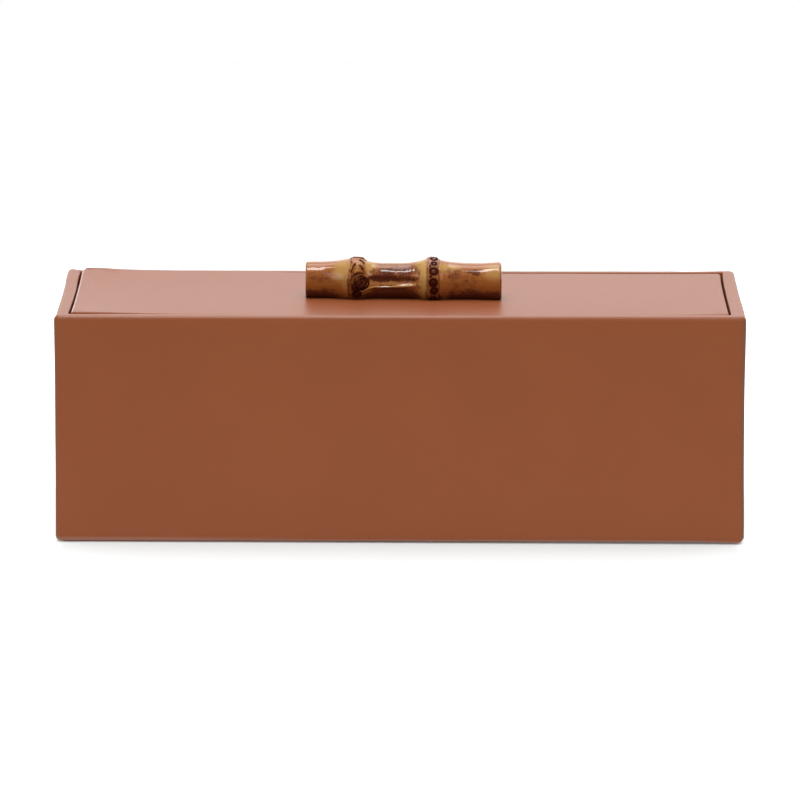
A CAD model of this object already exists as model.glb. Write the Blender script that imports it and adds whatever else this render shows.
"""Looks of the stationery box: smooth faux leather over boards, suede inside, bamboo handle."""

import math

import bpy
from mathutils import Matrix, Vector, noise


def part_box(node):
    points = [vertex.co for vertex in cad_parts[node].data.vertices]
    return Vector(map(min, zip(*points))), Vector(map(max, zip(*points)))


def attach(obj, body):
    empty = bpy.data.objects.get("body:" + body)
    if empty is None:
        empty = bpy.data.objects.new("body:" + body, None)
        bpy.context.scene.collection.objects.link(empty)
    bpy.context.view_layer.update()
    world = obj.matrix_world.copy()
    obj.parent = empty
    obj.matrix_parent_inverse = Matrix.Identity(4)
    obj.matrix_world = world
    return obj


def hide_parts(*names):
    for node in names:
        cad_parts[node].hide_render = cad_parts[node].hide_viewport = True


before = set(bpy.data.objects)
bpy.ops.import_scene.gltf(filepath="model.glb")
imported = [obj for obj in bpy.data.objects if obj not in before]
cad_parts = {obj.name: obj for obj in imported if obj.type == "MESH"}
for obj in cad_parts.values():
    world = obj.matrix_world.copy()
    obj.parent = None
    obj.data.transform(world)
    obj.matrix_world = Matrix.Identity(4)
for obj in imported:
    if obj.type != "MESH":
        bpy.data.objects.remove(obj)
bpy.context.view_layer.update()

MM = 0.001

# ------------------------------------------------------------------ sizes, in millimetres
leather = 0.8  # thickness of the leather
rim = 5.6  # leather, wall board and turned-in leather together
rim_turn_in = 16.0  # how far the leather comes down inside the walls
base_turn_under = 14.0
lid_turn_under = 12.0
case_edge = 2.1  # rounding of the leather over the outer edges
mouth_edge = 0.55  # rounding over the edge of the mouth
lid_edge = 1.0
lid_corner = 2.6  # rounding of the lid's upright corners
liner_top = 95.0  # where the turned-in leather comes out above the liners
mouth_ends = 6.8  # how far from each end of the mouth its leather is thicker
rim_reach = 35.0  # how far down the walls the draw-in of the ends reaches
bow_reach = 12.0  # and the bow of the back rim
foot_flare = 0.4  # how far the right end stands out at the foot
foot_reach = 45.0  # how far up the right end does so
foot_tuck = 0.9  # how far its lower corner draws in
lid_ends = (132.0, 143.0)  # from where the ends of the lid draw in, and do so in full
seam_width = 0.35  # half the width of a butt seam
seam_depth = 0.3
skin_step = 6.0  # spacing of the mesh lines that let the leather be uneven
skin_waves = 26.0  # length of the unevenness in the leather
case_waver = 0.08  # and its height
lid_waver = 0.06

# Handle
axis_height = 7.35  # its axis above the lid
handle_offset = 8.5  # left end of the axis, in front of the middle of the lid
handle_lean = 4.4  # how far the axis comes forward over its length
left_end_round = 0.7
right_end_round = 1.2
right_end_long = 0.4  # how far the right end stands out past its place
end_dish = 0.25  # how far the cut ends are hollowed by sanding
cane_step = 0.25  # spacing of the rings of the mesh
cane_columns = 208  # points round the cane
cap_rings = 10  # rings of the mesh across each cut end
cane_marks = ("burn", "ochre", "char", "cut")  # browning, fresh skin, black, sawn end
weld = 0.002  # points of the mesh closer than this are one


def linear(hex_colour):
    """The linear colour, with alpha, of an sRGB hex value."""
    parts = [int(hex_colour[i : i + 2], 16) / 255 for i in (1, 3, 5)]
    return tuple(p / 12.92 if p <= 0.04045 else ((p + 0.055) / 1.055) ** 2.4 for p in parts) + (1,)


# ------------------------------------------------------------------------------ materials
def new_material(name):
    """An empty material with its output and a Principled shader joined to it."""
    material = bpy.data.materials.new(name)
    material.use_nodes = True
    tree = material.node_tree
    tree.nodes.clear()
    shader = tree.nodes.new("ShaderNodeBsdfPrincipled")
    output = tree.nodes.new("ShaderNodeOutputMaterial")
    tree.links.new(shader.outputs[0], output.inputs["Surface"])
    return material, tree, shader


def join(tree, node, inputs):
    """Sets a node's inputs: a socket is linked, a hex value is a colour, the rest are values."""
    for name, value in inputs.items():
        if isinstance(value, bpy.types.NodeSocket):
            tree.links.new(value, node.inputs[name])
        elif isinstance(value, str):
            node.inputs[name].default_value = linear(value)
        else:
            node.inputs[name].default_value = value


def add(tree, kind, inputs=None, **settings):
    """Adds a node with its settings and joins its inputs."""
    node = tree.nodes.new("ShaderNode" + kind)
    for name, value in settings.items():
        setattr(node, name, value)
    join(tree, node, inputs or {})
    return node


def finished_leather():
    """Faux leather, tan, rolled smooth: even and matt, with an emboss that only shows close up."""
    material, tree, shader = new_material("faux_leather_rolled_smooth")
    place = add(tree, "TexCoord").outputs["Object"]
    # The pigment lies a little unevenly over some 40 mm.
    cloud = add(tree, "TexNoise", {"Vector": place, "Scale": 1 / (40 * MM), "Detail": 3.0})
    dye = add(tree, "Mix", {0: cloud.outputs["Fac"], 6: "#8B4B2A", 7: "#91502E"}, data_type="RGBA")
    # Pores 0.5 mm apart would not show, so they are drawn 1.1 mm apart.
    pores = add(tree, "TexVoronoi", {"Vector": place, "Scale": 1 / (1.1 * MM)})
    crease = add(tree, "TexNoise", {"Vector": place, "Scale": 1 / (2.2 * MM), "Detail": 4.0})
    grain = add(
        tree,
        "Math",
        {0: pores.outputs["Distance"], 1: crease.outputs["Fac"]},
        operation="MULTIPLY",
    )
    bump = add(tree, "Bump", {"Height": grain.outputs[0], "Strength": 0.25, "Distance": 0.06 * MM})
    finish = add(tree, "MapRange", {"Value": crease.outputs["Fac"], "To Min": 0.4, "To Max": 0.46})
    # Rubbed edges shine, and worn corners turn a dull brown.
    rubbed = add(tree, "Attribute", attribute_name="rubbed").outputs["Fac"]
    gloss = add(tree, "Mix", {0: rubbed, 2: finish.outputs[0], 3: 0.22}, data_type="FLOAT")
    shine = add(tree, "MapRange", {"Value": rubbed, "To Min": 0.2, "To Max": 0.75})
    worn = add(tree, "Attribute", attribute_name="worn").outputs["Fac"]
    handled = add(tree, "Mix", {0: worn, 6: dye.outputs[2], 7: "#74503E"}, data_type="RGBA")
    join(
        tree,
        shader,
        {
            "Base Color": handled.outputs[2],
            "Roughness": gloss.outputs[0],
            "Specular IOR Level": shine.outputs[0],
            "Normal": bump.outputs[0],
        },
    )
    return material


def microsuede():
    """Sand-coloured microsuede glued on card: a short nap that lies in slightly different ways."""
    material, tree, shader = new_material("microsuede_sand")
    place = add(tree, "TexCoord").outputs["Object"]
    strokes = add(tree, "TexNoise", {"Vector": place, "Scale": 1 / (14 * MM), "Detail": 2.0})
    nap = add(tree, "TexNoise", {"Vector": place, "Scale": 1 / (0.5 * MM), "Detail": 4.0})
    brushed = add(
        tree, "Mix", {0: strokes.outputs["Fac"], 6: "#B79C78", 7: "#CDB592"}, data_type="RGBA"
    )
    shade = add(tree, "MapRange", {"Value": nap.outputs["Fac"], "To Min": 0.82, "To Max": 1.1})
    colour = add(
        tree,
        "Mix",
        {0: 1.0, 6: brushed.outputs[2], 7: shade.outputs[0]},
        data_type="RGBA",
        blend_type="MULTIPLY",
    )
    bump = add(tree, "Bump", {"Height": nap.outputs["Fac"], "Strength": 0.6, "Distance": 0.2 * MM})
    join(
        tree,
        shader,
        {
            "Base Color": colour.outputs[2],
            "Roughness": 0.95,
            "Specular IOR Level": 0.2,
            "Sheen Weight": 0.35,
            "Sheen Roughness": 0.4,
            "Normal": bump.outputs[0],
        },
    )
    return material


def wool_felt():
    """Pressed wool felt, dark brown: matted fibres with no direction."""
    material, tree, shader = new_material("wool_felt_pressed")
    place = add(tree, "TexCoord").outputs["Object"]
    swirl = add(
        tree,
        "TexNoise",
        {"Vector": place, "Scale": 1 / (1.2 * MM), "Detail": 6.0, "Distortion": 2.5},
    )
    colour = add(
        tree, "Mix", {0: swirl.outputs["Fac"], 6: "#2E2019", 7: "#554136"}, data_type="RGBA"
    )
    bump = add(
        tree, "Bump", {"Height": swirl.outputs["Fac"], "Strength": 0.8, "Distance": 0.3 * MM}
    )
    join(
        tree,
        shader,
        {
            "Base Color": colour.outputs[2],
            "Roughness": 1.0,
            "Specular IOR Level": 0.1,
            "Sheen Weight": 0.2,
            "Normal": bump.outputs[0],
        },
    )
    return material


def fibreboard():
    """Medium-density fibreboard, sawn and sanded: pale brown with short dark and light fibres."""
    material, tree, shader = new_material("fibreboard_sanded")
    place = add(tree, "TexCoord").outputs["Object"]
    fibres = add(tree, "TexNoise", {"Vector": place, "Scale": 1 / (1.0 * MM), "Detail": 5.0})
    colour = add(
        tree, "Mix", {0: fibres.outputs["Fac"], 6: "#94714A", 7: "#C3A57B"}, data_type="RGBA"
    )
    bump = add(
        tree, "Bump", {"Height": fibres.outputs["Fac"], "Strength": 0.4, "Distance": 0.05 * MM}
    )
    join(
        tree,
        shader,
        {"Base Color": colour.outputs[2], "Roughness": 0.8, "Normal": bump.outputs[0]},
    )
    return material


def binders_card():
    """Grey card of recycled pulp, calendered flat: fine specks."""
    material, tree, shader = new_material("grey_card_calendered")
    place = add(tree, "TexCoord").outputs["Object"]
    specks = add(tree, "TexNoise", {"Vector": place, "Scale": 1 / (0.7 * MM), "Detail": 6.0})
    colour = add(
        tree, "Mix", {0: specks.outputs["Fac"], 6: "#7E7668", 7: "#A69D8C"}, data_type="RGBA"
    )
    join(tree, shader, {"Base Color": colour.outputs[2], "Roughness": 0.85})
    return material


def turned_brass():
    """Brass, turned on a lathe and left bright: warm, and dulled in soft patches by handling."""
    material, tree, shader = new_material("brass_turned")
    place = add(tree, "TexCoord").outputs["Object"]
    tarnish = add(tree, "TexNoise", {"Vector": place, "Scale": 1 / (3 * MM), "Detail": 4.0})
    colour = add(
        tree, "Mix", {0: tarnish.outputs["Fac"], 6: "#C79A4B", 7: "#E3C07A"}, data_type="RGBA"
    )
    dull = add(tree, "MapRange", {"Value": tarnish.outputs["Fac"], "To Min": 0.2, "To Max": 0.4})
    join(
        tree,
        shader,
        {"Base Color": colour.outputs[2], "Metallic": 1.0, "Roughness": dull.outputs[0]},
    )
    return material


def lacquered_bamboo():
    """Root of bamboo, scorched brown in patches and dipped in clear lacquer."""
    material, tree, shader = new_material("bamboo_root_lacquered")
    place = add(tree, "TexCoord").outputs["Object"]
    laid = add(tree, "UVMap", uv_map="cane").outputs["UV"]
    # Fibres run along the cane: 0.5 mm wide and some 12 mm long.
    strands = add(tree, "Mapping", {"Vector": laid, "Scale": (1 / 12.0, 1 / 0.5, 1.0)})
    fibre = add(tree, "TexNoise", {"Vector": strands.outputs[0], "Scale": 1.0, "Detail": 4.0})
    cloud = add(
        tree,
        "TexNoise",
        {"Vector": place, "Scale": 1 / (3.2 * MM), "Detail": 5.0, "Roughness": 0.6},
    )
    mottle = add(tree, "TexNoise", {"Vector": place, "Scale": 1 / (1.1 * MM), "Detail": 3.0})
    burn, ochre, char, cut = (
        add(tree, "Attribute", attribute_name=name).outputs["Fac"] for name in cane_marks
    )

    skin = add(
        tree, "Mix", {0: fibre.outputs["Fac"], 6: "#84431B", 7: "#AA6A2B"}, data_type="RGBA"
    )
    fresh = add(tree, "Mix", {0: ochre, 6: skin.outputs[2], 7: "#B38A4B"}, data_type="RGBA")
    # The scorching is ragged: the cloud eats into the edge of each patch.
    ragged = add(
        tree, "Math", {0: cloud.outputs["Fac"], 1: 0.9, 2: -0.8}, operation="MULTIPLY_ADD"
    )
    specks = add(
        tree,
        "Math",
        {0: mottle.outputs["Fac"], 1: 0.7, 2: ragged.outputs[0]},
        operation="MULTIPLY_ADD",
    )
    patchy = add(tree, "Math", {0: burn, 1: specks.outputs[0]}, operation="ADD")
    scorch = add(
        tree,
        "MapRange",
        {"Value": patchy.outputs[0], "From Min": 0.15, "From Max": 0.85},
        interpolation_type="SMOOTHSTEP",
    )
    burnt = add(
        tree, "Mix", {0: mottle.outputs["Fac"], 6: "#3A1006", 7: "#6C2C12"}, data_type="RGBA"
    )
    toned = add(
        tree,
        "Mix",
        {0: scorch.outputs[0], 6: fresh.outputs[2], 7: burnt.outputs[2]},
        data_type="RGBA",
    )
    charred = add(tree, "Mix", {0: char, 6: toned.outputs[2], 7: "#260805"}, data_type="RGBA")
    # The cut ends show the fibre bundles as dark dots 0.8 mm apart.
    bundles = add(tree, "TexVoronoi", {"Vector": place, "Scale": 1 / (0.8 * MM)})
    dots = add(
        tree, "MapRange", {"Value": bundles.outputs["Distance"], "From Min": 0.2, "From Max": 0.45}
    )
    end_grain = add(
        tree, "Mix", {0: dots.outputs[0], 6: "#5B3218", 7: "#A77A49"}, data_type="RGBA"
    )
    colour = add(
        tree, "Mix", {0: cut, 6: charred.outputs[2], 7: end_grain.outputs[2]}, data_type="RGBA"
    )
    bump = add(
        tree, "Bump", {"Height": fibre.outputs["Fac"], "Strength": 0.25, "Distance": 0.08 * MM}
    )
    # The lacquer sinks into the cracks and leaves them dull.
    film = add(tree, "MapRange", {"Value": char, "From Max": 0.4, "To Min": 1.0, "To Max": 0.03})
    gleam = add(tree, "MapRange", {"Value": char, "From Max": 0.4, "To Min": 0.08, "To Max": 0.03})
    join(
        tree,
        shader,
        {
            "Base Color": colour.outputs[2],
            "Roughness": 0.5,
            "Specular IOR Level": gleam.outputs[0],
            "Coat Weight": film.outputs[0],
            "Coat Roughness": 0.1,
            "Coat IOR": 1.5,
            "Normal": bump.outputs[0],
        },
    )
    return material


# --------------------------------------------------------------------------- modelling
def deselect():
    """Leaves edit mode and deselects every object."""
    if bpy.context.mode != "OBJECT":
        bpy.ops.object.mode_set(mode="OBJECT")
    bpy.ops.object.select_all(action="DESELECT")


def choose(piece):
    """Makes a piece the only one selected, and active."""
    deselect()
    piece.select_set(True)
    bpy.context.view_layer.objects.active = piece


def settle(piece, name):
    """Names a new primitive and moves its place, turn and size into its mesh."""
    piece.name = name
    piece.data.name = name
    choose(piece)
    bpy.ops.object.transform_apply(location=True, rotation=True, scale=True)


def block(name, low, high):
    """A block between two corners, in millimetres."""
    deselect()
    bpy.ops.mesh.primitive_cube_add(size=1)
    piece = bpy.context.object
    piece.location = (Vector(low) + Vector(high)) / 2 * MM
    piece.scale = (Vector(high) - Vector(low)) * MM
    settle(piece, name)
    return piece


def select(piece, kind, test):
    """Selects the EDGEs whose ends, or the FACEs whose middle and normal, pass a test."""
    choose(piece)
    mesh = piece.data
    bpy.context.tool_settings.mesh_select_mode = (False, kind == "EDGE", kind == "FACE")
    for thing in [*mesh.vertices, *mesh.edges, *mesh.polygons]:
        thing.select = False
    if kind == "EDGE":
        for edge in mesh.edges:
            edge.select = test(*(mesh.vertices[i].co / MM for i in edge.vertices))
    else:
        for face in mesh.polygons:
            face.select = test(face.center / MM, face.normal)
    bpy.ops.object.mode_set(mode="EDIT")


def cut_lines(piece, axis, places, test=None):
    """Cuts mesh lines across a piece at places along an axis, in millimetres."""
    if not test:
        choose(piece)
        bpy.ops.object.mode_set(mode="EDIT")
    for place in places:
        if test:
            select(piece, "FACE", test)
        else:
            bpy.ops.mesh.select_all(action="SELECT")
        point = [0.0, 0.0, 0.0]
        point[axis] = place * MM
        direction = [0.0, 0.0, 0.0]
        direction[axis] = 1.0
        bpy.ops.mesh.bisect(plane_co=point, plane_no=direction)
    bpy.ops.object.mode_set(mode="OBJECT")


def between(low, high, spacing):
    """Evenly spaced places strictly between two ends."""
    count = max(1, round((high - low) / spacing))
    return [low + (high - low) * i / count for i in range(1, count)]


def near(value, target):
    """True within a hundredth of a millimetre."""
    return abs(value - target) < 0.01


def give_thickness(piece):
    """Gives a modelled skin the thickness of the leather, inwards."""
    choose(piece)
    thick = piece.modifiers.new("thickness", "SOLIDIFY")
    thick.thickness = leather * MM
    thick.offset = -1
    thick.use_even_offset = True
    bpy.ops.object.modifier_apply(modifier=thick.name)


def smooth_shade(piece, angle=35):
    """Smooth shading, with a crease at each edge sharper than an angle in degrees."""
    choose(piece)
    bpy.ops.object.shade_smooth_by_angle(angle=math.radians(angle))


def wave(point, amount, length, seed):
    """A soft unevenness, in millimetres, at a point in millimetres."""
    return amount * noise.noise(point / length + Vector((7.3, 3.1, 5.7)) * seed)


def ease(low, high, value):
    """0 at low and before it, 1 at high and past it, and a smooth turn between."""
    share = min(1.0, max(0.0, (value - low) / (high - low)))
    return share * share * (3 - 2 * share)


def hump(value, middle, width):
    """1 at the middle, falling smoothly to nearly nothing two widths away."""
    return math.exp(-(((value - middle) / width) ** 2))


def through(points, place):
    """The value at a place on a smooth line through points, held flat past its ends."""
    if place <= points[0][0]:
        return points[0][1]
    if place >= points[-1][0]:
        return points[-1][1]
    index = max(i for i in range(len(points) - 1) if points[i][0] <= place)
    (x0, y0), (x1, y1) = points[index], points[index + 1]

    def slope(i):
        if i == 0 or i == len(points) - 1:
            return 0.0
        return (points[i + 1][1] - points[i - 1][1]) / (points[i + 1][0] - points[i - 1][0])

    span = x1 - x0
    t = (place - x0) / span
    start, end = slope(index) * span, slope(index + 1) * span
    return (
        y0 * (1 + 2 * t) * (1 - t) ** 2
        + start * t * (1 - t) ** 2
        + y1 * t * t * (3 - 2 * t)
        + end * t * t * (t - 1)
    )


# -------------------------------------------------------------------------------- leather
# Each table gives a distance in millimetres at places along the length or the depth.
# How far the back and the front edge of the lid stand above the rim, along the length.
lid_back_rise = (
    (-146.0, 1.2), (-144.0, 2.1), (-142.0, 2.4), (-137.0, 2.4), (-124.0, 1.5), (-105.0, 1.15),
    (-87.0, 1.05), (-69.0, 0.85), (-50.0, 0.3), (0.0, 0.0), (55.0, -0.13), (92.0, -0.12),
    (132.0, -0.1), (145.0, 0.0),
)
lid_front_rise = (
    (-145.0, 0.6), (-132.0, 0.5), (-112.0, 0.0), (-92.0, -0.3), (118.0, -0.3), (134.0, -0.1),
    (145.0, -0.05),
)
# How far the back rim bows up where the leather is pulled over its corner.
rim_bow = (
    (-150.0, 0.8), (-148.0, 0.6), (-145.0, -0.1), (-142.0, -0.45), (-138.0, -0.2),
    (-115.0, 0.13), (-50.0, 0.13), (50.0, 0.0), (120.0, 0.1), (138.0, 0.15), (150.0, 0.35),
)
# How far the ends of the mouth and of the lid come in, from the front to the back.
mouth_in = {
    "left": ((-58, 0.32), (-32, 0.62), (-10, 0.97), (12, 1.03), (30, 0.83), (45, 0.82), (58, 0.86)),
    "right": ((-58, 0.44), (-30, 0.42), (20, 0.22), (38, -0.08), (58, -0.6)),
}
lid_in = {
    "left": ((-58, 0.37), (-32, 0.5), (-10, 0.6), (12, 0.66), (30, 0.7), (45, 0.74), (58, 0.8)),
    "right": ((-58, 0.32), (-30, 0.31), (20, 0.1), (38, -0.22), (58, -0.75)),
}
# The same for the outside of the case along its rim: the corners stand out a little.
rim_in = {
    "left": ((-63, -0.3), (-55, 0.2), (-32, 0.35), (-15, 0.55), (12, 0.64), (30, 0.68), (46, 0.45)),
    "right": ((-63, -0.42), (-20, -0.52), (10, -0.4), (35, -0.5), (63, -0.68)),
}
# How far the leather bags below the edge of the base, most at the lower right corner.
foot_drop = ((-152, 0.42), (-60, 0.45), (0, 0.5), (70, 0.6), (135, 0.72), (147, 1.15), (152, 1.2))

case_low, case_high = (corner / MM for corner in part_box("case_cover"))
lid_low, lid_high = (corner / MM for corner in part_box("lid_cover"))


def upright(a, b):
    """True for an edge that runs up and down."""
    return near(a.x, b.x) and near(a.y, b.y)


def level_edge(a, b):
    """True for an edge that runs level along the length or the depth."""
    return near(a.z, b.z) and (near(a.x, b.x) or near(a.y, b.y))


def add_lines(piece, high):
    """Mesh lines all over a skin, close enough together for it to be a little uneven."""
    reach_x = high.x - rim - 1
    reach_y = high.y - rim - 1
    cut_lines(piece, 0, between(-reach_x, reach_x, skin_step))
    cut_lines(piece, 1, between(-reach_y, reach_y, skin_step))


def keep_flat(piece, high, insets):
    """Mesh lines beside the rounded edges, so that the flat up to them is shaded flat."""
    for axis, reach in enumerate((high.x, high.y)):
        places = [side * (reach - inset) for side in (-1, 1) for inset in insets]
        cut_lines(piece, axis, sorted(places))


def uneven(piece, amount, seed):
    """Moves the points of a skin a little, outside and inside alike."""
    for vertex in piece.data.vertices:
        place = vertex.co / MM
        drift = [wave(place, amount, skin_waves, seed + axis) for axis in range(3)]
        vertex.co += Vector(drift) * MM


def come_in(amounts, place):
    """How far a place at the left or right end is moved towards the middle."""
    if place.x > 0:
        return -through(amounts["right"], place.y)
    return through(amounts["left"], place.y)


def make_case_leather():
    """One sheet round the walls, over the rim into the mouth, and under the base."""
    piece = block("case_leather", case_low, case_high)
    select(piece, "FACE", lambda middle, normal: normal.z > 0.9)
    bpy.ops.mesh.inset(thickness=rim * MM)
    bpy.ops.mesh.extrude_region_move(
        TRANSFORM_OT_translate={"value": (0, 0, -rim_turn_in * MM)}
    )
    bpy.ops.mesh.delete(type="FACE")

    def outer(a, b):
        if upright(a, b):
            return near(abs(a.x), case_high.x)
        on_side = near(abs(a.x), case_high.x) and near(abs(b.x), case_high.x)
        on_front = near(abs(a.y), case_high.y) and near(abs(b.y), case_high.y)
        return level_edge(a, b) and (on_side or on_front)

    select(piece, "EDGE", outer)
    bpy.ops.mesh.bevel(offset=case_edge * MM, segments=6, affect="EDGES")
    mouth_x = case_high.x - rim
    mouth_y = case_high.y - rim

    def round_mouth(a, b):
        on_side = near(abs(a.x), mouth_x) and near(abs(b.x), mouth_x)
        on_front = near(abs(a.y), mouth_y) and near(abs(b.y), mouth_y)
        return near(a.z, case_high.z) and near(b.z, case_high.z) and (on_side or on_front)

    select(piece, "EDGE", round_mouth)
    bpy.ops.mesh.bevel(offset=mouth_edge * MM, segments=4, affect="EDGES")
    select(piece, "FACE", lambda middle, normal: normal.z < -0.999)
    bpy.ops.mesh.inset(thickness=(base_turn_under - case_edge) * MM)
    bpy.ops.mesh.delete(type="FACE")
    give_thickness(piece)

    add_lines(piece, case_high)
    keep_flat(piece, case_high, (case_edge + 0.3, rim - mouth_edge - 0.3))
    cut_lines(piece, 2, between(case_low.z + case_edge, case_high.z - case_edge, skin_step))
    cut_lines(
        piece,
        0,
        [seam_width * place for place in (-2, -1, 0, 1, 2)],
        lambda middle, normal: middle.y > case_high.y - 2 and abs(middle.x) < skin_step,
    )
    attributes = piece.data.attributes
    attributes.new("worn", "FLOAT", "POINT")
    attributes.new("rubbed", "FLOAT", "POINT")
    worn = attributes["worn"].data
    rubbed = attributes["rubbed"].data
    for vertex in piece.data.vertices:
        place = vertex.co / MM
        if near(place.y, case_high.y):
            vertex.co.y -= seam_depth * hump(place.x, 0, seam_width) * MM
        # The bottom edge is rubbed shiny, in a band that narrows to a line at the right.
        low = (place.z - case_low.z) / case_edge
        wide = 1 - ease(-125, -30, place.x)
        rubbed[vertex.index].value = (0.25 < low < 0.4) + wide * (0.4 < low < 0.8)
        # So is the rim along the front and the back.
        round_x = (abs(place.x) - case_high.x) / case_edge + 1
        round_y = (abs(place.y) - case_high.y) / case_edge + 1
        if round_x < 0.1 < round_y and place.z > case_high.z - case_edge + 0.1:
            rubbed[vertex.index].value = 0.5
        # The upright corners are worn to a dull brown.
        corner = ease(0.0, 0.7, round_x) if place.x > 0 else 0.5 * ease(0.3, 0.9, round_x)
        worn[vertex.index].value = 0.75 * corner * ease(0.0, 0.25, round_y)
        # The turned-under leather bags at the foot.
        margin = min(case_high.x - abs(place.x), case_high.y - abs(place.y))
        rolled = (1 - ease(0.0, 2.4, low)) * ease(5.0, 2.2, margin)
        vertex.co.z -= through(foot_drop, place.x) * rolled * MM
        # The back rim bows up a little where the leather is pulled over its corner.
        behind = ease(0, mouth_y, place.y)
        behind *= ease(case_high.z - bow_reach, case_high.z, place.z)
        vertex.co.z += through(rim_bow, place.x) * behind * MM
        # The ends are drawn in between the corners, and stand out at the right.
        outside = ease(mouth_x + 1, case_high.x - 1, abs(place.x))
        high = ease(case_high.z - rim_reach, case_high.z, place.z)
        vertex.co.x += come_in(rim_in, place) * high * outside * MM
        if place.x > 0:
            vertex.co.x += foot_flare * (1 - ease(0, foot_reach, place.z)) * outside * MM
            vertex.co.x -= foot_tuck * (1 - ease(-0.3, 1.3, low)) * outside * MM
        # Above the liners, the turned-in leather is thicker at the ends of the mouth.
        inner = ease(mouth_x + 2.4, mouth_x + 0.9, abs(place.x))
        inner *= ease(mouth_y + 2.4, mouth_y + 0.9, abs(place.y))
        inner *= ease(liner_top - 0.4, liner_top + 0.4, place.z)
        inner *= abs(place.x) > mouth_x - mouth_ends
        vertex.co.x += come_in(mouth_in, place) * inner * MM
    uneven(piece, case_waver, 1)
    smooth_shade(piece)
    piece.data.materials.append(tan_leather)
    return piece


def make_lid_leather():
    """The leather round the lid board, turned under it. The lid has warped a little."""
    piece = block("lid_leather", lid_low, lid_high)
    select(piece, "EDGE", upright)
    bpy.ops.mesh.bevel(offset=lid_corner * MM, segments=6, affect="EDGES")
    select(piece, "EDGE", lambda a, b: near(a.z, b.z))
    bpy.ops.mesh.bevel(offset=lid_edge * MM, segments=4, affect="EDGES")
    select(piece, "FACE", lambda middle, normal: normal.z < -0.999)
    bpy.ops.mesh.inset(thickness=(lid_turn_under - lid_edge) * MM)
    bpy.ops.mesh.delete(type="FACE")
    give_thickness(piece)
    add_lines(piece, lid_high)
    keep_flat(piece, lid_high, (lid_edge + 0.5,))
    # The edge at the left end is rubbed smooth where the lid is picked up.
    rubbed = piece.data.attributes.new("rubbed", "FLOAT", "POINT").data
    for vertex in piece.data.vertices:
        place = vertex.co / MM
        at_edge = ease(lid_high.x - lid_edge, lid_high.x - 0.75 * lid_edge, -place.x)
        upper = place.z > lid_high.z - 0.95 * lid_edge
        rubbed[vertex.index].value = 0.75 * at_edge * upper
        along = place.y / lid_high.y
        lift = through(lid_back_rise, place.x) * ((1 + along) / 2) ** 3
        lift += through(lid_front_rise, place.x) * ((1 - along) / 2) ** 4
        vertex.co.z += lift * ease(lid_low.z, lid_high.z - 1, place.z) * MM
        at_end = ease(*lid_ends, abs(place.x)) * ease(lid_low.z, lid_high.z - 2, place.z)
        vertex.co.x += come_in(lid_in, place) * at_end * MM
    uneven(piece, lid_waver, 4)
    smooth_shade(piece)
    piece.data.materials.append(tan_leather)
    return piece


# --------------------------------------------------------------------------------- handle
grip_low, grip_high = (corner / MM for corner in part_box("handle"))
grip_length = grip_high.x - grip_low.x
lid_top = grip_low.z
axis_z = lid_top + axis_height

# Radius of the cane at distances from the left end, node rings apart.
cane_profile = (
    (0.0, 8.35), (3.9, 8.46), (7.0, 8.5), (10.6, 8.72), (13.3, 9.0), (16.0, 9.38), (18.7, 9.82),
    (20.8, 10.2), (25.5, 10.1), (26.8, 9.5), (28.0, 9.0), (29.4, 8.65), (31.2, 8.38),
    (33.5, 8.15), (38.4, 8.12), (42.0, 8.12), (46.4, 8.38), (50.0, 9.0), (51.8, 9.55),
    (53.4, 10.1), (54.4, 10.4), (57.0, 10.2), (59.9, 9.95), (61.2, 9.6), (62.6, 9.33),
    (64.4, 9.0), (66.6, 8.82), (70.0, 8.55), (77.8, 8.44), (82.3, 8.7), (87.2, 9.05),
)

# Rootlet scars: distance from the left end, degrees above straight forward, radius.
right_scars = (
    (57.4, 75.0, 1.85), (57.5, 54.5, 1.35), (57.3, 32.0, 2.05), (55.9, 19.0, 0.55),
    (55.7, 45.0, 0.45), (57.1, 4.5, 2.05), (57.4, -15.5, 1.85), (57.0, -38.0, 1.7),
    (57.2, 101.0, 1.8), (57.6, 124.0, 1.5), (57.1, 146.0, 1.9), (57.5, 169.0, 1.7),
    (57.3, 191.0, 1.6), (57.0, 213.0, 1.8),
)
left_scars = (
    (23.0, -27.0, 2.1), (23.4, 112.0, 1.5), (23.1, 134.0, 1.9), (23.7, 157.0, 1.6),
    (23.2, 180.0, 1.8), (23.5, 203.0, 1.5),
)
# The bud on the left node, and a swelling beside it.
bud = (25.1, 1.5)
bud_size = 3.25
lobe = (22.6, -7.7)
lobe_size = 1.8
# Radii at which degrees round the cane are turned to millimetres.
node_radius = 10.8
skin_radius = 8.0
uv_radius = 8.5
grain_radius = 9.0

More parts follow.
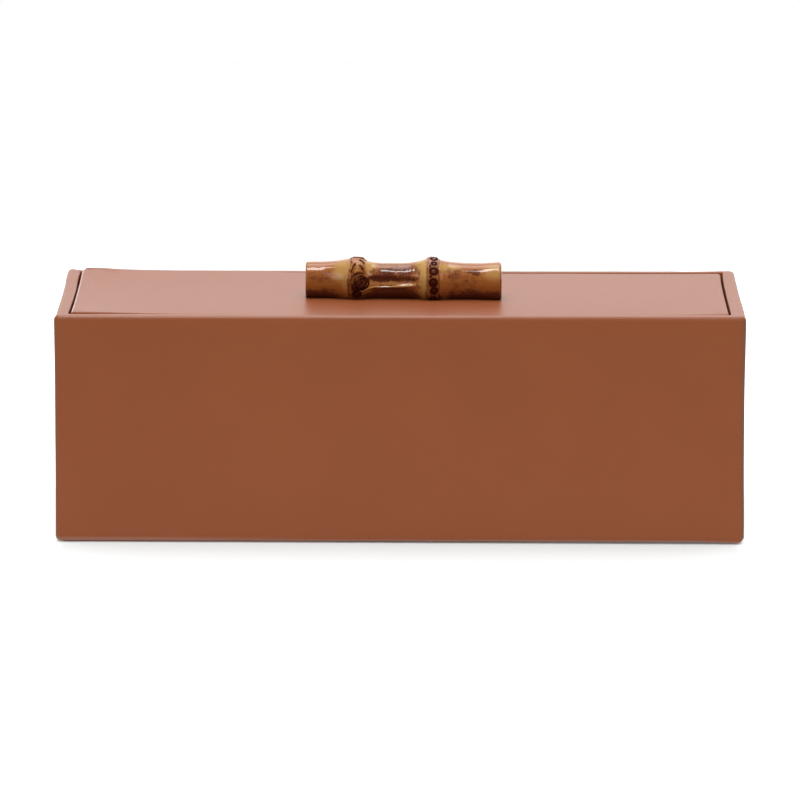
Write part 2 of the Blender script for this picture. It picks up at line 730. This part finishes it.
# Cracks: half width, depth, how black, how broken, then their course along the cane.
cracks = (
    (0.28, 0.12, 0.9, 0.9, ((20.4, 62), (20.3, 50), (19.3, 31), (18.8, 14), (18.9, 0), (19.6, -32))),
    (0.45, 0.5, 1.0, 0.7, ((22.2, 51), (21.3, 43), (20.6, 33), (20.3, 26))),
    (0.65, 0.45, 1.0, 0.8, ((24.5, 45), (25.1, 42), (26.0, 34), (26.6, 28))),
    (0.5, 0.45, 0.95, 0.4, ((22.2, 22.5), (23.2, 25.5), (25.3, 25))),
    (0.45, 0.55, 1.0, 0.1, ((24.4, 67), (25.3, 61.5), (26.1, 57))),
    (0.85, 0.3, 0.9, 0.3, ((21.4, 82), (24.0, 83), (26.2, 77))),
    (0.22, 0.16, 0.7, 0.7, ((20.7, 14), (20.4, 3), (20.8, -10), (21.6, -16))),
    (0.22, 0.16, 0.7, 0.8, ((21.4, 18), (22.0, 12), (21.7, 4))),
    (0.24, 0.1, 0.55, 0.9, ((54.15, 200), (54.2, 90), (54.2, 30), (54.0, -50))),
    (0.2, 0.25, 0.5, 0.8, ((59.7, 200), (59.7, 90), (59.6, 30), (59.7, -50))),
    (0.25, 0.08, 0.8, 0.6, ((20.5, 200), (20.4, 120), (20.4, 60))),
    (0.25, 0.25, 0.8, 0.5, ((27.0, 200), (27.1, 120), (27.0, 80))),
    (0.25, 0.15, 0.7, 0.4, ((49.6, -1), (50.8, -7))),
)
# The triangular scale over the bud: its corners, and the tips of two more.
scale = ((23.1, 52.0), (25.0, 28.5), (21.2, 22.5))
scale_tips = ((22.45, 49.5), (24.1, 49.0))

# The raised line under the bud that goes on as the lower lip of the channel.
lip = (
    (20.5, -20.0), (25.4, -18.5), (27.2, -17.6), (29.0, -14.8), (30.8, -12.6), (38.5, -11.9),
    (49.0, -6.3), (52.0, -4.0),
)
channel_top = ((27.0, 22.0), (30.0, 24.0), (38.0, 23.0), (49.0, 17.5), (52.0, 15.0))
channel_depth = 1.0
channel_bed = 0.72  # its deepest line, as a share of the way from the lip to its top

# Swellings and hollows: height, degrees round, their half spread, along, half length.
swellings = (
    (0.4, 30, 17, 44.0, 8.5),  # bulges above the channel, which lowers its highlight
    (0.16, 50, 9, 16.5, 4.5),
    (-0.08, 44, 12, 46.0, 5.5),
    (-0.07, 51, 12, 80.5, 3.5),  # a flat near the right end, where the lacquer shines widest
)

# Patches of the skin: along, degrees round, half length, half height, strength.
scorched = (
    (7.0, 24.0, 8.0, 3.4, 0.38),
    (21.2, 5.0, 2.2, 4.4, 0.62),
    (8.0, -36.0, 9.0, 3.4, 0.5),
    (41.0, 38.0, 12.0, 3.2, 0.7),
    (31.5, 34.0, 3.5, 2.5, 0.5),
    (35.5, 17.5, 9.0, 2.0, 1.0),
    (45.0, 14.0, 7.0, 1.7, 0.6),
    (41.0, 59.0, 11.0, 2.4, 0.5),
    (39.0, -33.0, 12.5, 4.2, 1.0),
    (70.0, 12.0, 8.5, 5.0, 0.35),
    (67.0, 24.0, 4.0, 2.2, 0.5),
    (75.5, 38.0, 3.5, 1.6, 0.75),
    (66.0, 40.0, 4.5, 1.4, 0.5),
    (72.0, -36.0, 13.0, 3.4, 0.65),
    (10.0, 140.0, 7.0, 4.0, 0.7),
    (39.0, 120.0, 10.0, 5.0, 0.8),
    (40.0, 175.0, 9.0, 5.0, 0.6),
    (71.0, 155.0, 9.0, 5.0, 0.7),
)
fresh_skin = (
    (16.5, 42.0, 4.5, 6.0, 0.75),
    (17.8, 10.0, 2.2, 5.5, 0.5),
    (28.8, 62.0, 3.0, 6.0, 0.8),
    (52.6, 25.0, 2.4, 11.0, 1.0),
    (52.0, 55.0, 3.5, 5.0, 0.9),
    (64.0, 50.0, 5.5, 2.4, 0.85),
    (38.0, -3.0, 9.0, 1.2, 0.3),
    (84.0, 42.0, 4.5, 4.5, 0.6),
    (17.0, 150.0, 4.0, 9.0, 0.7),
    (62.0, 160.0, 4.0, 9.0, 0.7),
)


def turn(angle, middle):
    """The signed difference of two angles in degrees, the short way round."""
    return (angle - middle + 180) % 360 - 180


def spot(s, angle, middle_s, half_s, middle_angle, half_angle):
    """1 at a place on the cane, falling smoothly to nearly nothing round it."""
    return hump(turn(angle, middle_angle), 0, half_angle) * hump(s, middle_s, half_s)


def arc(angle, middle, radius=node_radius):
    """The distance round the cane between two angles, in millimetres."""
    return math.radians(turn(angle, middle)) * radius


def offset(s, angle, point):
    """The way from a point on the cane, as millimetres along it and round it."""
    return s - point[0], arc(angle, point[1])


def gap_to(s, angle, course):
    """Distance on the surface to a course of points."""
    best = 99.0
    for start, end in zip(course, course[1:]):
        along, around = offset(s, angle, start)
        span_s = end[0] - start[0]
        span_a = arc(end[1], start[1])
        share = (along * span_s + around * span_a) / (span_s**2 + span_a**2)
        share = min(1.0, max(0.0, share))
        best = min(best, math.hypot(along - share * span_s, around - share * span_a))
    return best


def inside_scale(s, angle):
    """Distance inside the outline of the triangular scale, negative outside."""
    least = 99.0
    for start, end in zip(scale, scale[1:] + scale[:1]):
        along, around = offset(s, angle, start)
        span_s = end[0] - start[0]
        span_a = arc(end[1], start[1])
        least = min(least, (around * span_s - along * span_a) / -math.hypot(span_s, span_a))
    return least


def strongest(patches, s, angle, core):
    """The strength at a place of the patch that covers it most. Each fades out from its core."""
    best = 0.0
    for along, around, half, height, strength in patches:
        off = math.hypot((s - along) / half, arc(angle, around, skin_radius) / height)
        best = max(best, strength * (1 - ease(core, 1.3, off)))
    return best


def scorch(s, angle):
    """How much the flame has browned the skin at a place, and how fresh it has stayed."""
    swelling = max(hump(s, 17.0, 3.5), hump(s, 52.0, 2.5), hump(s, 62.5, 2.0))
    underneath = ease(-8.0, -36.0, turn(angle, 0)) * ease(175.0, 190.0, angle % 360)
    shaded = 0.85 * underneath * (1 - 0.55 * swelling)
    burn = max(strongest(scorched, s, angle, 0.5), shaded)
    return burn, strongest(fresh_skin, s, angle, 0.4)


class Skin:
    """A place on the cane: how far it lies from the axis, and how flame and age have marked it."""

    def __init__(self, s, angle):
        out = math.radians(angle)
        self.s = s
        self.angle = angle
        self.place = Vector((s, grain_radius * math.cos(out), grain_radius * math.sin(out)))
        # The left node lies askew: in front, it reaches further to the left.
        self.askew = s + 1.9 * hump(turn(angle, 5), 0, 38) * hump(s, 19.0, 4.5)
        # Lines and rims run raggedly, so they are measured from a place a little way off.
        self.ragged_s = s + 0.3 * noise.noise(self.place / 0.8)
        self.ragged_angle = angle + 1.8 * noise.noise(self.place / 0.8 + Vector((5, 9, 2)))
        self.from_bud = offset(self.ragged_s, self.ragged_angle, bud)
        self.to_bud = math.hypot(*self.from_bud) / bud_size
        self.radius = through(cane_profile, self.askew)
        self.burn = 0.0
        self.ochre = 0.0
        self.char = 0.0


def swell(skin):
    """Soft swellings and hollows, and the fine ripple of the fibres."""
    s, angle, place = skin.s, skin.angle, skin.place
    skin.radius += wave(place, 0.15, 14.0, 3)
    for height, middle, spread, along, half in swellings:
        skin.radius += height * spot(s, angle, along, half, middle, spread)
    # The left end has a flat too, and a hollow line runs round before the right ring.
    skin.radius -= 0.07 * hump(turn(angle, 51), 0, 12) * (1 - ease(8.0, 11.0, s))
    skin.radius -= 0.1 * hump(s, 54.0, 0.8)
    # Above the channel and on its lip, crinkles across the fibres come in.
    crinkled = spot(s, angle, 44.0, 9.0, 43, 22)
    ripple = wave(Vector((s / 7, place.y, place.z)), 0.03, 1.3, 4)
    skin.radius += ripple * (1 - 0.9 * crinkled)
    crinkled = max(crinkled, spot(s, angle, 47.0, 5.0, -2, 9))
    crinkle = wave(Vector((s, place.y / 2.5, place.z / 2.5)), 0.045, 0.75, 5)
    skin.radius += crinkle * crinkled


def flame(skin):
    """Browns the skin in patches with ragged edges, and leaves some of it fresh."""
    s, angle, place = skin.s, skin.angle, skin.place
    licked_s = s + 1.2 * noise.noise(place / 1.8)
    licked_angle = angle + wave(place, 5, 1.6, 9) + wave(place, 5, 0.7, 10)
    skin.burn, skin.ochre = scorch(licked_s, licked_angle)
    # Over the channel, the browning follows fine creases across the grain.
    creased = spot(s, angle, 39.0, 11.0, 26, 26)
    skin.burn += wave(Vector((s, place.y / 3, place.z / 3)), 0.5, 0.55, 8) * creased
    skin.burn = max(skin.burn, 0.6 * ease(-0.9, -0.3, s - grip_length))


def node_rings(skin):
    """The rings that stand out from the nodes. The left one is pitted round the bud."""
    s, angle = skin.s, skin.angle
    left = ease(20.2, 21.6, skin.askew) * (1 - ease(26.2, 26.9, s))
    right = ease(53.9, 54.9, s) * (1 - ease(59.0, 59.6, s))
    skin.radius += 0.5 * left + 0.8 * right
    skin.burn = max(skin.burn, 0.42 * left * (1 - ease(20, 45, turn(angle, 0))), 0.42 * right)
    skin.ochre *= 1 - max(left, right)
    pitted = left * (1 - ease(30, 50, abs(turn(angle, 10))))
    skin.char = max(skin.char, 0.6 * pitted * ease(0.12, 0.4, noise.noise(skin.place / 0.55)))


def crack(skin):
    """Black cracks, with breaks in them. They stop at the bud."""
    if skin.to_bud <= 0.8:
        return
    broken = min(1.0, max(0.0, 0.5 + 1.6 * noise.noise(skin.place / 0.9)))
    for half, depth, black, breaks, course in cracks:
        if not course[0][0] - 6 < skin.s < course[0][0] + 8:
            continue
        reach = gap_to(skin.ragged_s, skin.ragged_angle, course) / half
        if reach < 3:
            line = hump(reach, 0, 1)
            skin.radius -= depth * line
            skin.char = max(skin.char, black * min(1.0, 1.6 * line) * (1 - breaks * broken))


def rootlet_scars(skin):
    """Each scar is a groove round a flat knob, with a faint rim outside it."""
    if skin.to_bud < 1:
        return
    for along, around, size in left_scars + right_scars:
        if abs(skin.s - along) > 3.5 or abs(turn(skin.angle, around)) > 22:
            continue
        off = math.hypot(*offset(skin.s, skin.angle, (along, around))) / size
        groove = hump(off, 0.74, 0.28)
        knob = 0.5 * (1 - ease(0.6, 0.9, off)) * (skin.angle < 10)
        skin.radius += 0.09 * hump(off, 1.12, 0.14) - 0.35 * groove
        skin.char = max(skin.char, 0.9 * groove, knob)
        skin.burn = max(skin.burn, 1.3 * (1 - ease(0.95, 1.1, off)))


def scale_over_bud(skin):
    """The scale, with the tips of two more standing out above it."""
    inset = inside_scale(skin.ragged_s, skin.ragged_angle)
    if inset > -1.5:
        raised = ease(-0.1, 0.7, inset)
        skin.radius += 0.6 * raised
        skin.burn *= 1 - 0.8 * raised
        skin.ochre = max(skin.ochre, 0.35 * raised)
    for tip in scale_tips:
        knob = hump(math.hypot(*offset(skin.s, skin.angle, tip)), 0.0, 0.42)
        skin.radius += 0.4 * knob
        skin.ochre = max(skin.ochre, 0.8 * knob)


def bud_knob(skin):
    """The bud: a crusted knob in a moat, with a lip that stands away from it on the right."""
    if skin.to_bud >= 1.6:
        return
    along, around = (way / bud_size for way in skin.from_bud)
    rightward = ease(0.2, 0.8, along) * ease(0.5, -0.2, around)
    leftward = ease(0.3, -0.7, along) * ease(-0.4, 0.4, around)
    crust = noise.noise(skin.place / 1.1) + 0.6 * noise.noise(skin.place / 0.5)
    inner = 1 - ease(0.85, 1.05, skin.to_bud)
    moat = hump(skin.to_bud, 1.0, 0.1)
    raised = hump(skin.to_bud, 0.8, 0.07) * rightward
    skin.radius += inner * (0.15 + 0.4 * crust) + 0.5 * raised
    skin.radius -= 0.6 * moat + 0.35 * hump(skin.to_bud, 0.62, 0.1) * rightward
    edge = hump(skin.to_bud, 0.86, 0.16) * (1 - leftward)
    dark = 0.45 - 0.9 * crust - 0.4 * leftward + 0.8 * edge
    skin.char = max(skin.char, inner * min(0.95, dark), 0.95 * moat * (1 - leftward))
    skin.char *= 1 - 0.9 * hump(skin.to_bud, 0.8, 0.05) * rightward
    skin.burn = max(skin.burn, 0.75 * (1 - ease(1.0, 1.25, skin.to_bud)))
    skin.burn *= 1 - 0.8 * raised


def bud_lobe(skin):
    """The scorched swelling beside the bud."""
    off = math.hypot(*offset(skin.ragged_s, skin.ragged_angle, lobe)) / lobe_size
    if off < 1.4:
        skin.radius += 0.5 * (1 - ease(0.5, 1.1, off))
        skin.char = max(skin.char, 0.6 * (1 - ease(0.6, 1.0, off)), 0.9 * hump(off, 1.0, 0.14))
        skin.burn = max(skin.burn, 1 - ease(1.1, 1.4, off))


def bud_channel(skin):
    """The channel over the bud, steep above and easy below, with its raised lower lip."""
    s, angle = skin.s, skin.angle
    low = through(lip, s)
    high = through(channel_top, s)
    share = turn(angle, low) / (high - low)
    reach = ease(27.4, 29.6, s) * (1 - ease(47.0, 52.0, s))
    if 0 < share < 1:
        bend = share / channel_bed if share < channel_bed else (1 - share) / (1 - channel_bed)
        skin.radius -= channel_depth * reach * math.sin(math.pi / 2 * bend) ** 2
    # The lip is wider and higher over its right half, where the top has a faint ridge too.
    right_half = ease(38, 43, s)
    crest = ease(23.5, 25.5, s) * (1 - ease(47.0, 52.5, s))
    line = crest * hump(arc(angle, low + 1.5), 0, 0.38 + 0.45 * right_half)
    skin.radius += (0.55 + 0.3 * right_half) * line
    skin.ochre = max(skin.ochre, 0.6 * line)
    skin.burn *= 1 - 0.8 * line
    skin.radius += 0.15 * reach * right_half * hump(arc(angle, high + 5), 0, 0.7)


def make_handle():
    """The bamboo root, rolled up from a fine grid and sanded flat underneath."""
    rings = round(grip_length / cane_step)
    rows = rings + 2 * cap_rings
    deselect()
    bpy.ops.mesh.primitive_grid_add(x_subdivisions=rows, y_subdivisions=cane_columns, size=1)
    piece = bpy.context.object
    settle(piece, "bamboo_handle")
    mesh = piece.data
    mesh.uv_layers[0].name = "cane"

    features = (swell, flame, node_rings, crack, rootlet_scars)
    features += (scale_over_bud, bud_knob, bud_lobe, bud_channel)
    marks = {name: [] for name in cane_marks}
    places = []
    for vertex in mesh.vertices:
        row = round((vertex.co.x + 0.5) * rows)
        angle = -90 + (vertex.co.y + 0.5) * 360
        ring = min(max(row - cap_rings, 0), rings)
        s = ring * grip_length / rings
        skin = Skin(s, angle)
        for feature in features:
            feature(skin)
        radius = skin.radius
        for edge, inwards in ((left_end_round, s), (right_end_round, grip_length - s)):
            radius -= edge - math.sqrt(edge**2 - max(0.0, edge - inwards) ** 2)
        # Past the ends, the rows close in over the cut faces.
        past = max(cap_rings - row, row - cap_rings - rings, 0) / cap_rings
        radius *= 1 - past
        out = math.radians(angle)
        axis_y = -(handle_offset + handle_lean * (s / grip_length))
        dished = end_dish * past * (1 - past) * 4 * (1 if row < cap_rings else -1)
        longer = right_end_long * ease(grip_length - 8, grip_length, s)
        place = (
            grip_low.x + s + longer + dished,
            axis_y - radius * math.cos(out),
            axis_z + radius * math.sin(out),
        )
        places.append(Vector(place))
        char = min(1.0, max(0.0, skin.char))
        for name, value in zip(cane_marks, (skin.burn, skin.ochre, char, ease(0.0, 0.15, past))):
            marks[name].append(value)
    for name, values in marks.items():
        layer = mesh.attributes.new(name, "FLOAT", "POINT")
        layer.data.foreach_set("value", values)
    for corner in mesh.uv_layers["cane"].uv:
        row = corner.vector.x * rows - cap_rings
        corner.vector = (row * grip_length / rings, corner.vector.y * 2 * math.pi * uv_radius)
    for vertex, place in zip(mesh.vertices, places):
        vertex.co = place * MM

    choose(piece)
    bpy.ops.object.mode_set(mode="EDIT")
    bpy.ops.mesh.select_all(action="SELECT")
    bpy.ops.mesh.remove_doubles(threshold=weld * MM)
    bpy.ops.mesh.bisect(
        plane_co=(0, 0, lid_top * MM),
        plane_no=(0, 0, -1),
        clear_outer=True,
        threshold=weld / 4 * MM,
    )
    # Slivers along the cut are merged, so that the flat underside closes cleanly.
    bpy.ops.mesh.remove_doubles(threshold=5 * weld * MM)
    bpy.ops.mesh.select_all(action="SELECT")
    bpy.ops.mesh.fill_holes(sides=0)
    bpy.ops.mesh.normals_make_consistent(inside=False)
    smooth_shade(piece, 60)
    mesh.materials.append(bamboo)
    return piece


# ------------------------------------------------------------------------ putting together
tan_leather = finished_leather()
suede = microsuede()
felt = wool_felt()
board = fibreboard()
card = binders_card()
brass = turned_brass()
bamboo = lacquered_bamboo()

case_leather = make_case_leather()
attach(case_leather, "case")
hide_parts("case_cover")

lid_leather = make_lid_leather()
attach(lid_leather, "lid")
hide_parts("lid_cover")

handle = make_handle()
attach(handle, "lid")
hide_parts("handle")

walls = ("front", "back", "left", "right")
finishes = {
    suede: [wall + "_lining" for wall in walls] + ["floor_lining", "lid_lining"],
    felt: ["base_felt"],
    board: [wall + "_board" for wall in walls] + ["base_board", "lid_board"],
    card: [wall + "_liner" for wall in walls]
    + ["base_infill", "floor_card", "lid_infill", "lid_panel_card"],
    brass: ["handle_screws", "cup_washers"],
}
for finish, nodes in finishes.items():
    for node in nodes:
        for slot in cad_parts[node].material_slots:
            slot.material = finish

# ----------------------------------------------------------------------- floor and light
floor_size = 2.2  # metres
floor_middle = 0.45  # how far its middle lies behind that of the box
floor_sink = 0.0004  # it lies this far down, clear of the leather that bags at the foot
floor_tilt = 0.14  # degrees down to the right, where the leather hangs lowest
sky_low = 0.34  # level of the light from all round, from the horizon up
sky_high = 3.3  # and straight overhead


def floor_paper():
    """Seamless white paper: as white as the sky, with the soft shadow of the box."""
    material, tree, shader = new_material("floor_paper_white")
    camera_ray = add(tree, "LightPath").outputs["Is Camera Ray"]
    glow = add(tree, "MapRange", {"Value": camera_ray, "To Min": 0.6, "To Max": 0.1})
    share = add(tree, "MapRange", {"Value": camera_ray, "To Min": 0.34, "To Max": 0.66})
    # Beside the ends of the box, the paper is washed out to white.
    place = add(tree, "SeparateXYZ", {0: add(tree, "TexCoord").outputs["Object"]})
    beside = add(tree, "Math", {0: place.outputs["X"]}, operation="ABSOLUTE")
    washed = add(
        tree,
        "MapRange",
        {"Value": beside.outputs[0], "From Min": 0.148, "From Max": 0.156, "To Max": 0.5},
        interpolation_type="SMOOTHSTEP",
    )
    strength = add(
        tree,
        "Math",
        {0: washed.outputs[0], 1: camera_ray, 2: glow.outputs[0]},
        operation="MULTIPLY_ADD",
    )
    # Close to the box and behind it, a trace of blue in the paper offsets the leather's glow.
    near_box = {"From Min": -0.2 - floor_middle, "From Max": -0.05 - floor_middle}
    close = add(tree, "MapRange", {"Value": place.outputs["Y"], **near_box})
    paper = add(
        tree, "Mix", {0: close.outputs[0], 6: (1, 1, 1, 1), 7: (0.96, 1, 1, 1)}, data_type="RGBA"
    )
    shaded = add(
        tree, "Mix", {0: share.outputs[0], 6: (0, 0, 0, 1), 7: paper.outputs[2]}, data_type="RGBA"
    )
    lit = add(tree, "BsdfDiffuse", {"Color": shaded.outputs[2]})
    glowing = add(tree, "Emission", {"Color": (1, 1, 1, 1), "Strength": strength.outputs[0]})
    seen = add(tree, "AddShader", {0: lit.outputs[0], 1: glowing.outputs[0]})
    tree.links.new(seen.outputs[0], tree.nodes["Material Output"].inputs["Surface"])
    tree.nodes.remove(shader)
    return material


deselect()
bpy.ops.mesh.primitive_plane_add(size=floor_size, location=(0, floor_middle, -floor_sink))
floor = bpy.context.object
floor.name = "floor"
floor.rotation_euler.y = math.radians(floor_tilt)
floor.data.materials.append(floor_paper())

world = bpy.data.worlds.new("white_studio")
bpy.context.scene.world = world
world.use_nodes = True
tree = world.node_tree
background = tree.nodes["Background"]
rays = add(tree, "LightPath")
axes = add(tree, "SeparateXYZ", {0: add(tree, "TexCoord").outputs["Generated"]})
# In reflections the room is white behind the box and dark on the camera's side.
behind = add(
    tree,
    "MapRange",
    {"Value": axes.outputs["Y"], "From Min": 0.3, "From Max": 0.95, "To Min": 0.06, "To Max": 2.0},
)
mirrored = add(
    tree, "Math", {0: rays.outputs["Is Glossy Ray"], 1: behind.outputs[0]}, operation="MULTIPLY"
)
seen = add(
    tree,
    "Math",
    {0: rays.outputs["Is Camera Ray"], 1: rays.outputs["Is Transmission Ray"]},
    operation="MAXIMUM",
)
bright = add(tree, "Math", {0: seen.outputs[0], 1: mirrored.outputs[0]}, operation="MAXIMUM")
dome = add(
    tree,
    "MapRange",
    {"Value": axes.outputs["Z"], "From Min": 0.6, "To Min": sky_low, "To Max": sky_high},
)
diffuse = add(
    tree, "Math", {0: rays.outputs["Is Diffuse Ray"], 1: dome.outputs[0]}, operation="MULTIPLY"
)
level = add(tree, "Math", {0: bright.outputs[0], 1: diffuse.outputs[0]}, operation="MAXIMUM")
join(tree, background, {"Color": (1, 1, 1, 1), "Strength": level.outputs[0]})

handle_place = Vector((0.0, -0.01, 0.11))


def soft_box(name, place, width, height, level):
    """An area light that faces the handle, of a level like that of the white background."""
    deselect()
    bpy.ops.object.light_add(type="AREA", location=place)
    lamp = bpy.context.object
    lamp.name = name
    lamp.rotation_euler = (handle_place - lamp.location).to_track_quat("-Z", "Y").to_euler()
    lamp.data.shape = "RECTANGLE"
    lamp.data.size = width
    lamp.data.size_y = height
    lamp.data.energy = level * math.pi * width * height
    return lamp


soft_box("soft_box_overhead", (-0.2, -0.2, 1.6), 0.6, 0.2, 12.0)
behind_box = soft_box("soft_box_behind", (0.0, 0.5, 1.5), 0.6, 0.7, 3.0)
behind_box.visible_diffuse = False
soft_box("soft_box_left", (-0.87, -1.64, 1.3), 0.55, 1.3, 1.6)
soft_box("soft_box_right", (0.98, -1.57, 1.3), 0.55, 1.3, 1.6)

# -------------------------------------------------------------------------------- camera
camera_elevation = 10.19  # degrees
camera_distance = 3.286  # metres from the target
camera_swing = -0.056  # degrees round the box
camera_roll = 0.119  # degrees
camera_target = Vector((0.00016, 0.0, 0.05277))  # metres
camera_lens = 328.25  # millimetres

swing = math.radians(camera_swing)
rise = math.radians(camera_elevation)
back = Vector(
    (math.sin(swing) * math.cos(rise), -math.cos(swing) * math.cos(rise), math.sin(rise))
)
camera_data = bpy.data.cameras.new("camera")
camera_data.lens = camera_lens
camera_data.clip_end = 50
camera = bpy.data.objects.new("camera", camera_data)
camera.location = camera_target + back * camera_distance
look = (-back).to_track_quat("-Z", "Y")
camera.rotation_euler = (
    look.to_matrix() @ Matrix.Rotation(math.radians(camera_roll), 3, "Z")
).to_euler()
bpy.context.collection.objects.link(camera)
bpy.context.scene.camera = camera
bpy.context.scene.view_settings.view_transform = "Standard"
